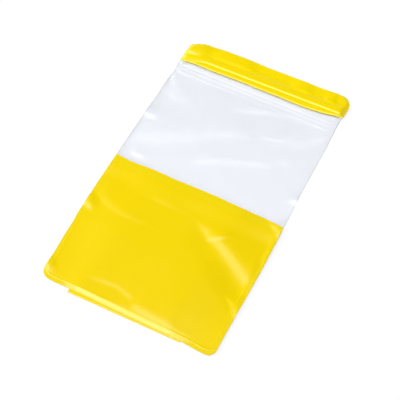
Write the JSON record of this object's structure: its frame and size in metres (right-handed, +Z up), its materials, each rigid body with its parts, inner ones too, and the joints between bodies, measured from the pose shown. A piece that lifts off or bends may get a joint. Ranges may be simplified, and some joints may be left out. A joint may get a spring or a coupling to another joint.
{
  "type": "waterproof phone pouch",
  "caption": "Flat welded film pouch with a clear window, yellow lower panel and lip, press-seal zip and a narrow strip folded under its bottom edge.",
  "frame": {"origin": "centre of the bounding box, on the table the pouch lies on", "axes": "+X across the pouch, +Y along it towards the mouth, +Z up out of the front"},
  "size_m": [0.12, 0.2068, 0.0064],
  "materials": {
    "yellow_film": "calendered soft PVC film, opaque yellow, glossy",
    "clear_film": "calendered soft PVC film, clear, glossy",
    "clear_tape": "extruded clear press-seal tape"
  },
  "bodies": {
    "root": {"front_lip": "yellow_film", "front_window": "clear_film", "front_lower_panel": "yellow_film", "front_zip_tape": "clear_tape", "back_lip": "yellow_film", "back_window": "clear_film", "back_lower_panel": "yellow_film", "back_zip_tape": "clear_tape", "bottom_strip": "yellow_film"}
  },
  "joints": []
}
